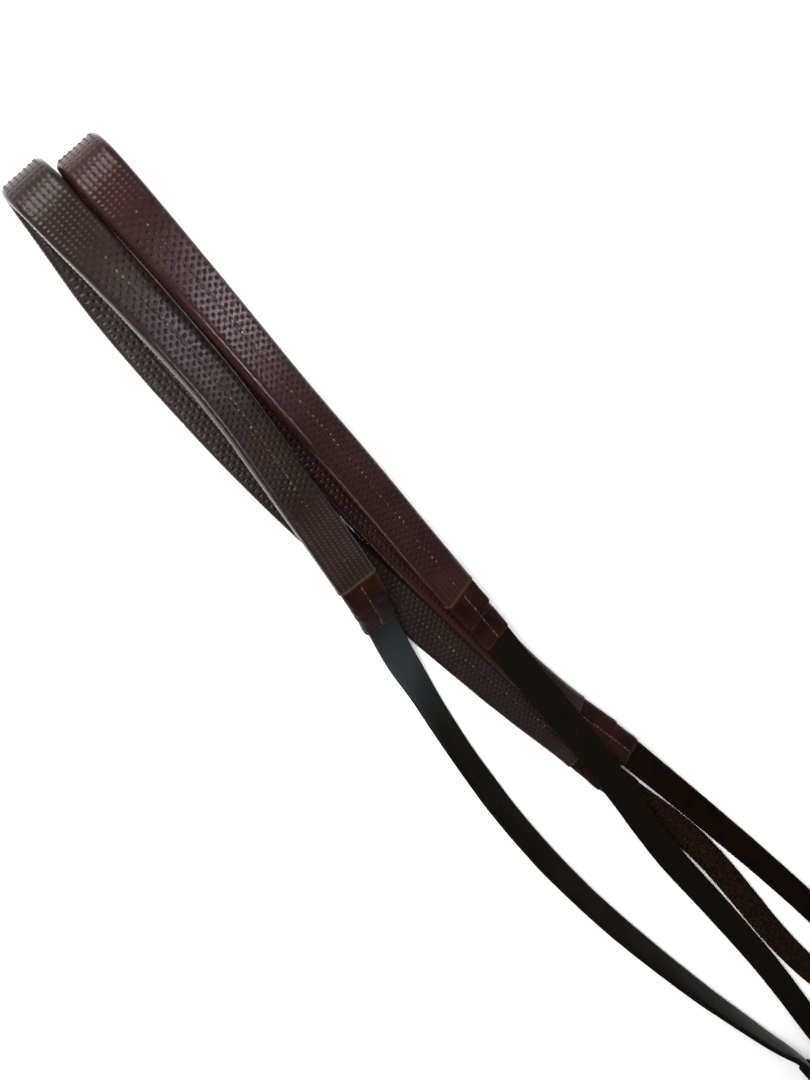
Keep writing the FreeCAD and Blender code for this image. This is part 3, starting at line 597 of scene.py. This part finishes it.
def pill():
    """A stitch: a half-buried ellipsoid of eight sides by four rings, one unit long, wide and high."""
    around = np.linspace(0, 2 * np.pi, 8, endpoint=False)
    down = np.linspace(0, np.pi, 6)[1:-1]
    ring = np.stack([np.outer(np.cos(down), np.ones(8)),
                     np.outer(np.sin(down), np.cos(around)),
                     np.outer(np.sin(down), np.sin(around))], axis=-1).reshape(-1, 3) / 2
    points = np.vstack([ring, [[0.5, 0, 0], [-0.5, 0, 0]]])
    index = np.arange(32).reshape(4, 8)
    nxt = np.roll(index, -1, axis=1)
    quads = np.stack([index[:-1], index[1:], nxt[1:], nxt[:-1]], axis=-1).reshape(-1, 4)
    caps = np.concatenate([np.stack([np.full(8, 32), index[0], nxt[0]], -1),
                           np.stack([np.full(8, 33), nxt[-1], index[-1]], -1)])
    return points, quads, caps


def stitch_rows(name, way, rows, seed, size=(2.1, 0.75, 0.6), bright_share=0.35, loose=0.0):
    """Rows of stitches: each row gives its lengths, its place across and its height off the path.
    One ellipsoid is copied to every stitch, turned to the strap, with a random skew, size and
    brightness."""
    random = np.random.default_rng(seed)
    base, quads, caps = pill()
    all_points, all_shade, count = [], [], 0
    for lengths, across, height in rows:
        place, side, face = way.at(lengths)
        along = np.cross(face, side)
        n = len(lengths)
        skew = random.normal(0, 0.12 + loose, n)[:, None]
        forward = unit(along + side * skew)
        left = unit(side - along * skew)
        scale = np.stack([size[0] * random.uniform(0.6 if loose else 0.9, 1.08, n),
                          size[1] * random.uniform(0.8, 1.15, n),
                          size[2] * random.uniform(0.9, 1.1, n)], axis=1)
        offset = across + random.normal(0, 0.08 + loose, n)
        centre = place + side * offset[:, None] + face * height
        local = base[None] * scale[:, None]
        points = (centre[:, None] + forward[:, None] * local[..., :1]
                  + left[:, None] * local[..., 1:2] + face[:, None] * local[..., 2:3])
        bright = np.where(random.uniform(0, 1, n) < bright_share, random.uniform(0.5, 1, n),
                          random.uniform(0, 0.2, n))
        all_points.append(points.reshape(-1, 3))
        all_shade.append(np.repeat(bright, len(base)))
        count += n
    starts = np.arange(count)[:, None, None] * len(base)
    loops = np.concatenate([(quads[None] + starts).ravel(), (caps[None] + starts).ravel()])
    totals = np.concatenate([np.full(count * len(quads), 4), np.full(count * len(caps), 3)])
    return raw_mesh(name, np.vstack(all_points) * MM, loops, totals,
                    {"shade": np.concatenate(all_shade)})


for hand in ("left", "right"):
    way, mark = reins[hand], marks[hand]
    seam = np.arange(mark["bit_cap"][1] + 4, mark["hand_cap"][0] - 4, 3.1)
    rows = [(seam, 0.0, 3.28), (seam, 0.0, -3.28)]
    piece = stitch_rows(f"{hand}_grip_seam", way, rows, 11, (1.3, 0.8, 0.5), 0.4, 0.5)
    finish_piece(piece, thread, "root", "thread", f"{hand}_grip_stitching")


# ------------------------------------------------------------------ caps


def end_cap(name, hand, rubber_end, strap_end, first_tier, narrowing, seed):
    """A cap in two tiers: thickness and width step down at the crease between them, each half of
    each tier is crowned, and the seam down the middle pulls a groove."""
    way = reins[hand]
    long = abs(strap_end - rubber_end)
    x = np.concatenate([[0.0, 0.15, 0.4], np.arange(0.8, long - 1.0, 0.45),
                        long - np.array([1.0, 0.6, 0.3, 0.1, 0.0])])
    lengths = rubber_end + x * np.sign(strap_end - rubber_end)
    if lengths[-1] < lengths[0]:
        lengths, x = lengths[::-1], x[::-1]
    tier = fall(x, first_tier - 0.5, first_tier + 0.6)
    crease = np.exp(-((x - first_tier) / 0.8) ** 2)
    lip = np.exp(-(x / 0.9) ** 2) * 0.3
    round_off = np.sqrt(np.clip(1 - (np.clip(x - (long - 1.0), 0, 1)) ** 2, 0, 1))
    thick = 6.7 - 1.15 * tier - 1.2 * (1 - round_off)
    width = 19.1 - narrowing * tier - 0.9 * (1 - round_off)
    section = strap_section(39, 11)
    share_a, _, _, way_h = section
    across = share_a[None, :]
    flat = (np.abs(way_h) > 0.99)[None, :].astype(float)
    part = np.where(x < first_tier, x / first_tier, (x - first_tier) / (long - first_tier))[:, None]
    crown = (np.sin(np.pi * np.clip(part, 0, 1)) ** 0.5
             * np.sin(np.pi * np.clip(np.abs(across), 0, 1)) ** 0.7)
    middle = np.exp(-(across * 7.5 / 0.75) ** 2) * flat
    relief = 0.28 * crown * flat - 0.5 * crease[:, None] - 0.42 * middle - lip[:, None] * 0.6
    relief = relief + 0.14 * smooth_noise(relief.shape, (9, 9), seed)
    worn = np.clip(0.9 * np.exp(-((x - long + 0.7) / 0.8) ** 2)
                   + 0.55 * np.exp(-((x - first_tier - 1.1) / 0.5) ** 2)
                   + 0.5 * np.exp(-((x - 0.6) / 0.5) ** 2), 0, 1)[:, None]
    worn = worn * (0.55 + 0.45 * smooth_noise(relief.shape, (14, 16), seed + 7)) - 0.15 * crease[:, None]
    radius = np.minimum(2.4, thick / 2 - 0.2)
    return swept(name, way, lengths, section, width, thick, radius, relief,
                 worn=np.clip(worn, 0, 1))


for hand in ("left", "right"):
    way, mark = reins[hand], marks[hand]
    rows = []
    for end, tiers in (("bit", 17.0), ("hand", 30.0)):
        low, high = mark[f"{end}_cap"]
        rubber_end, strap_end = (high, low) if end == "bit" else (low, high)
        narrowing = 0.3 if (hand, end) == ("left", "bit") else 1.5
        piece = end_cap(f"{hand}_{end}_end_cap", hand, rubber_end, strap_end, tiers, narrowing, 20)
        finish_piece(piece, chestnut, "root", "cap_leather", f"{hand}_{end}_cap")
        inner = np.arange(low + 2.4, high - 2.0, 2.9)
        for face in (1, -1):
            drop = np.where(np.abs(inner - rubber_end) > tiers, 0.55, 0.0)
            for step in (0.0, 0.55):
                chosen = inner[drop == step]
                if len(chosen):
                    rows.append((chosen, 0.0, face * (3.05 - step)))
    piece = stitch_rows(f"{hand}_cap_seams", way, rows, 12, (2.5, 0.42, 0.5), 0.8)
    finish_piece(piece, thread, "root", "thread", f"{hand}_cap_stitching")


# ------------------------------------------------------------------ plain straps


def plain_strap(name, way, start, end, seed, width=STRAP_WIDE, thick=STRAP_THICK, step=1.2,
                point=0.0, blunt=0.0, bloom_at=None, bloom_share=0.0):
    """A strap with bevelled, rubbed edges that is never quite even: the thickness and the relief
    drift by a tenth of a millimetre. With point, the last stretch narrows to a tip; with blunt,
    its corners are rounded. A painted sheen, a highlight laid into the colour, is
    share * exp(-((length - middle) / reach)^2) about the given middle."""
    lengths = np.linspace(start, end, max(int((end - start) / step), 8) + 1)
    if point or blunt:
        reach = point or blunt
        tail = np.linspace(0, 1, 16)
        lengths = np.concatenate([lengths[lengths < end - reach - 0.3],
                                  end - reach * (1 - tail)])
    wide = np.full(len(lengths), float(width))
    if point:
        w = np.clip((lengths - (end - point)) / point, 0, 1)
        wide = width * np.clip(1 - w ** 2.2, 0.06, 1)
    if blunt:
        w = np.clip((lengths - (end - blunt)) / blunt, 0, 1)
        wide = width * (1 - 0.75 * (1 - np.sqrt(np.clip(1 - w ** 2, 0, 1))))
    section = strap_section(15, 7)
    cells = (max(int((end - start) / 22), 2), 8)
    relief = 0.09 * smooth_noise((len(lengths), len(section[0])), cells, seed)
    radius = np.minimum(thick * 0.36, wide / 2 - 0.1)
    if bloom_at is None:
        return swept(name, way, lengths, section, wide, thick, radius, relief)
    # Painted sheen: a highlight laid into the grain's colour, fading either way from its middle.
    fade = np.exp(-((lengths - bloom_at) / PAINTED_SHEEN_REACH) ** 2)[:, None]
    bloom = bloom_share * fade * np.ones(len(section[0]))
    return swept(name, way, lengths, section, wide, thick, radius, relief, bloom=bloom)


# Strength of the painted blue-grey sheen on each bit-end strap, a highlight laid into its colour.
PAINTED_SHEEN = {"left": 1.0, "right": 0.12}
for hand in ("left", "right"):
    way, mark = reins[hand], marks[hand]
    hinge = mark["bit_cap"][0]
    piece = plain_strap(f"{hand}_bit_end_strap", way, 0.0, hinge + 0.5, 30,
                        bloom_at=hinge - 32, bloom_share=PAINTED_SHEEN[hand])
    finish_piece(piece, strap_leather, None, "strap_leather", f"{hand}_bit_strap", sharp=60)
    near = way.at(np.array([hinge - FLEX_REACH, hinge]))[0] * MM
    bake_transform(piece)


def cut_holes(piece, cutters):
    """Takes closed cutter shapes out of a piece, then removes them."""
    for cutter in cutters:
        step = piece.modifiers.new("hole", "BOOLEAN")
        step.operation = "DIFFERENCE"
        step.solver = "EXACT"
        step.object = cutter
    depsgraph = bpy.context.evaluated_depsgraph_get()
    mesh = bpy.data.meshes.new_from_object(piece.evaluated_get(depsgraph))
    piece.modifiers.clear()
    piece.data = mesh
    for cutter in cutters:
        bpy.data.objects.remove(cutter, do_unlink=True)


def slot_cutter(way, length, half_long, half_wide, depth=9.0):
    """A closed prism across the strap: a circle whose two halves are drawn apart along the strap."""
    place, side, face = (value[0] for value in way.at(np.array([float(length)])))
    along = np.cross(face, side)
    turn_by = np.linspace(0, 2 * np.pi, 24, endpoint=False)
    u = np.cos(turn_by) * half_wide + np.sign(np.cos(turn_by)) * half_long
    v = np.sin(turn_by) * half_wide
    ring = place + u[:, None] * along + v[:, None] * side
    rows = np.stack([ring + face * depth / 2, ring - face * depth / 2])
    return grid_mesh("cutter", rows, grain=np.zeros(48))


left, right = reins["left"], reins["right"]
left_end, right_end = marks["left"]["end"], marks["right"]["end"]
USED_HOLE_REACH = 76.0     # from the strap's tip to the hole that the tongue is in
FIRST_HOLE_REACH = 64.0    # and to the first of the three spare holes
HOLE_PITCH = 18.0
HOLE_RADIUS = 1.8
point_strap = plain_strap("left_pointed_strap", left, marks["left"]["hand_cap"][1] - 0.5,
                          left_end, 31, point=14.0)
holes = [slot_cutter(left, left_end - USED_HOLE_REACH, 3.7, 1.7)]
holes += [slot_cutter(left, left_end - FIRST_HOLE_REACH + HOLE_PITCH * k, 0.0, HOLE_RADIUS)
          for k in range(3)]
cut_holes(point_strap, holes)
finish_piece(point_strap, hand_leather, "root", "hand_leather", "left_hand_strap", sharp=45)
buckle_strap = plain_strap("right_buckle_strap", right, marks["right"]["hand_cap"][1] - 0.5,
                           right_end, 32)
finish_piece(buckle_strap, hand_leather, "root", "hand_leather", "right_hand_strap", sharp=60)

# ------------------------------------------------------------------ billets, keepers, buckle


def eased(points, reach):
    """A path with its corners eased: each point becomes the mean of its neighbours, ends kept."""
    spread = np.hanning(2 * reach + 3)[1:-1]
    spread /= spread.sum()
    padded = np.vstack([2 * points[0] - points[reach:0:-1], points,
                        2 * points[-1] - points[-2:-reach - 2:-1]])
    return np.stack([np.convolve(column, spread, "valid") for column in padded.T], axis=1)


def stepped(corners, step=0.8):
    """Points along straight runs between corners, about one step apart."""
    runs = []
    for a, b in zip(corners[:-1], corners[1:]):
        a, b = np.array(a, float), np.array(b, float)
        count = max(int(np.linalg.norm(b - a) / step), 1)
        runs.append(a + (b - a) * np.arange(count)[:, None] / count)
    return np.vstack(runs + [np.array(corners[-1], float)[None]])


def placed(flat_path, origin, x_way, y_way, side):
    """A path drawn in a plane, placed in the frame: origin + u * x_way + n * y_way."""
    points = (np.array(origin) + flat_path[:, :1] * np.array(x_way)
              + flat_path[:, 1:2] * np.array(y_way))
    return Way(points, np.broadcast_to(np.array(side, float), points.shape))


def arc(centre, radius, start, end, count=24):
    """Points on a circle from one angle to another, in degrees."""
    turn_by = np.radians(np.linspace(start, end, count))
    return np.stack([centre[0] + radius * np.cos(turn_by),
                     centre[1] + radius * np.sin(turn_by)], axis=1)


def ring_path(half_wide, half_high, corner, step=0.7):
    """A closed rounded rectangle, its first point left off the end."""
    pieces = []
    for k, (cx, cy) in enumerate(((1, 1), (-1, 1), (-1, -1), (1, -1))):
        centre = (cx * (half_wide - corner), cy * (half_high - corner))
        pieces.append(arc(centre, corner, 90 * k, 90 * k + 90, 7))
    path = np.vstack(pieces)
    return stepped([tuple(p) for p in np.vstack([path, path[:1]])], step)[:-1]


class Ring(Way):
    """A closed path: directions at its ends are taken across the join."""

    def __init__(self, points, side):
        padded = np.vstack([points[-3:], points, points[:3]])
        super().__init__(padded, np.broadcast_to(np.array(side, float), padded.shape))
        self.points, self.side, self.face = (v[3:-3] for v in (self.points, self.side, self.face))
        self.length = self.length[3:-3] - self.length[3]


def leather_loop(name, centre, x_way, wide_way, high_way):
    """A keeper: thin leather carried round a rounded rectangle, its ends butted."""
    path = ring_path(LOOP_HALF_WIDE, LOOP_HALF_HIGH, 1.5)
    points = np.array(centre) + path[:, :1] * np.array(wide_way) + path[:, 1:2] * np.array(high_way)
    ring = Ring(points, x_way)
    return swept(name, ring, ring.length, strap_section(7, 5), KEEPER_LONG, KEEPER_THICK, 0.45,
                 looped=True)


X, Y, Z = (1.0, 0.0, 0.0), (0.0, 1.0, 0.0), (0.0, 0.0, 1.0)
# For each billet: where its strap ends, and the ways that its width and its face point.
ENDS = {
    "left": ((312.0, -36.0, 9.7), (0, 0, 1), (0, -1, 0)),
    "right": ((366.0, -17.0, 3.4), (0, 1, 0), (0, 0, 1)),
}


def billet_path():
    """The billet in its own plane: along the strap, round the bit ring's eye and back to its tip."""
    eye = (EYE_REACH, EYE_TURN)
    turn_end = arc(eye, EYE_TURN, -90, 115, 40)
    first = stepped([(0, 0), (EYE_REACH, 0)])[:-1]
    last = stepped([tuple(turn_end[-1]), (58.3, 3.5), (6.0, 3.5)])[1:]
    path = np.vstack([first, turn_end, last])
    return eased(path, 3)


def hook_stud(origin, width_way, face_way):
    """A stud: a domed round base under the strap, its shank, and a flat hook with a rounded nose."""
    turn_by = np.linspace(0, 2 * np.pi, 28, endpoint=False)
    profile = np.array([(0.2, -3.0), (2.4, -2.85), (3.6, -2.5), (4.0, -2.1), (4.0, -1.75),
                        (1.5, -1.74), (1.5, 5.0), (0.2, 5.1)])
    radius, height = profile[:, 0], profile[:, 1]
    u = STUD_REACH + radius[:, None] * np.cos(turn_by)
    v = radius[:, None] * np.sin(turn_by)
    n = np.broadcast_to(height[:, None], u.shape)
    o, w, f = (np.array(t, float) for t in (origin, width_way, face_way))
    post = o + u[..., None] * np.array(X) + v[..., None] * w + n[..., None] * f
    length = np.linspace(0, 9.0, 24)
    nose = np.sqrt(np.clip(1 - np.clip((length - 7.0) / 2.05, 0, 1) ** 2, 0.02, 1))
    wide = 4.0 * nose * np.sqrt(np.clip(length / 1.2 + 0.15, 0, 1))
    share_a, share_h, way_a, way_h = strap_section(5, 5)
    r = np.minimum(0.6, wide / 2 - 0.05)[:, None]
    a = share_a * (wide[:, None] / 2 - r) + way_a * r
    h = share_h * (0.7 - r) + way_h * r + 6.15
    hook = (o + (STUD_REACH - 2.5 + length)[:, None, None] * np.array(X)
            + a[..., None] * w + h[..., None] * f)
    return [(post, True), (hook, False)]


def shells(name, grids):
    """Several closed grids in one mesh object; flip says that a grid's rows run the other way."""
    vertices, loops, totals = [], [], []
    offset = 0
    for points, flip in grids:
        if flip:
            points = points[::-1]
        rows, columns = points.shape[:2]
        index = np.arange(rows * columns).reshape(rows, columns) + offset
        nxt = np.roll(index, -1, axis=1)
        quads = np.stack([index[:-1], index[1:], nxt[1:], nxt[:-1]], axis=-1).reshape(-1, 4)
        centre = offset + rows * columns
        caps = np.concatenate([np.stack([np.full(columns, centre), index[0], nxt[0]], -1),
                               np.stack([np.full(columns, centre + 1), nxt[-1], index[-1]], -1)])
        vertices += [points.reshape(-1, 3), points[:1].mean(axis=1), points[-1:].mean(axis=1)]
        loops += [quads.ravel(), caps.ravel()]
        totals += [np.full(len(quads), 4), np.full(len(caps), 3)]
        offset = centre + 2
    return raw_mesh(name, np.vstack(vertices) * MM, np.concatenate(loops),
                    np.concatenate(totals), {})


for hand in ("left", "right"):
    origin, width_way, face_way = ENDS[hand]
    body = f"{hand}_bit_end"
    way = placed(billet_path(), origin, X, face_way, width_way)
    piece = plain_strap(f"{hand}_turned_billet", way, 0.0, way.length[-1], 33, blunt=7.0, step=0.9)
    cut_holes(piece, [slot_cutter(way, STUD_REACH, 0.0, 2.4, 30.0)])
    finish_piece(piece, strap_leather, body, "strap_leather", f"{hand}_bit_billet", sharp=45)
    piece = shells(f"{hand}_stud", hook_stud(origin, width_way, face_way))
    finish_piece(piece, steel, body, "steel", f"{hand}_hook_stud", sharp=40)
    o, w, f = (np.array(t, float) for t in (origin, width_way, face_way))
    for node, reach, owner in (("tip_keeper", 14.5, body), ("billet_loop", 48.5, f"{hand}_loop")):
        centre = o + np.array(X) * reach + f * 1.75
        piece = leather_loop(f"{hand}_{node}_leather", centre, X, w, f)
        finish_piece(piece, strap_leather, owner, "strap_leather", f"{hand}_{node}", sharp=50)

CHAPE = (250.0, 43.5, 4.85)
turned = arc((45, 0), 3.3, 90, -90, 24)
chape_line = np.vstack([stepped([(0, 0), (27, 0), (41, 3.3), (45, 3.3)])[:-1], turned,
                        stepped([(45, -3.3), (8, -3.3)])[1:]])
way = placed(eased(chape_line, 3), CHAPE, X, Z, Y)
chape = plain_strap("turned_chape", way, 0.0, way.length[-1], 34, thick=3.1, step=0.8, blunt=3.0)
SLOT_CORNERS = ((40.5, -1.6), (40.5, 1.6), (51, 1.6), (51, -1.6))
box_cut = np.array([[[u, v, n] for u, v in SLOT_CORNERS] for n in (-2.9, 6.0)])
cutter = grid_mesh("cutter", np.array(CHAPE) + box_cut, grain=np.zeros(8))
cutter.data.flip_normals()
cut_holes(chape, [cutter])
finish_piece(chape, hand_leather, "root", "hand_leather", "buckle_chape", sharp=45)

bridge_line = eased(stepped([(-8.75, -4.7), (-8.75, 5.95), (8.75, 5.95), (8.75, -4.7)], 0.5), 2)
way = placed(bridge_line, (264.0, 43.5, 4.85), Y, Z, X)
piece = plain_strap("fixed_keeper", way, 0.0, way.length[-1], 35, width=KEEPER_LONG,
                    thick=KEEPER_THICK, step=0.6)
finish_piece(piece, hand_leather, "root", "hand_leather", "buckle_keeper", sharp=50)
piece = leather_loop("sliding_keeper", (241.0, 43.5, 6.6), X, Y, Z)
finish_piece(piece, hand_leather, "loop", "hand_leather", "running_loop", sharp=50)

bar = np.array((295.0, 43.5, 4.85))
tilt = math.radians(28.0)
forward = np.array((math.cos(tilt), 0, math.sin(tilt)))
path = ring_path(9.0, 10.2, 3.2, 0.6)
points = bar + forward * 9.0 + path[:, :1] * forward + path[:, 1:2] * np.array(Y)
ring = Ring(points, np.cross(forward, Y))
piece = swept("centre_buckle", ring, ring.length, strap_section(2, 8), 3.0, 3.0, 1.49, looped=True)
finish_piece(piece, steel, "frame", "steel", "buckle_frame")

way = placed(stepped([(0, 0), (27, 0)]), CHAPE, X, Z, Y)
rows = [(np.arange(2.5, 17.0, 2.5), across, -1.72) for across in (-5.5, 5.5)]
piece = stitch_rows("chape_seams", way, rows, 13, (1.8, 0.6, 0.4), 0.7)
finish_piece(piece, thread, "root", "thread", "chape_stitching")

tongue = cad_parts["buckle_tongue"]
tongue.data.materials.clear()
tongue.data.materials.append(steel)

# ------------------------------------------------------------------ floor

floor_mesh = bpy.data.meshes.new("floor")
floor_mesh.from_pydata([(-6, -6, 0), (6, -6, 0), (6, 6, 0), (-6, 6, 0)], [], [(0, 1, 2, 3)])
floor = bpy.data.objects.new("floor", floor_mesh)
floor_mesh.materials.append(pale_floor("white_table"))
bpy.context.collection.objects.link(floor)


def corners(box):
    """A box as plain lists of numbers."""
    return [[float(v) for v in corner] for corner in box]
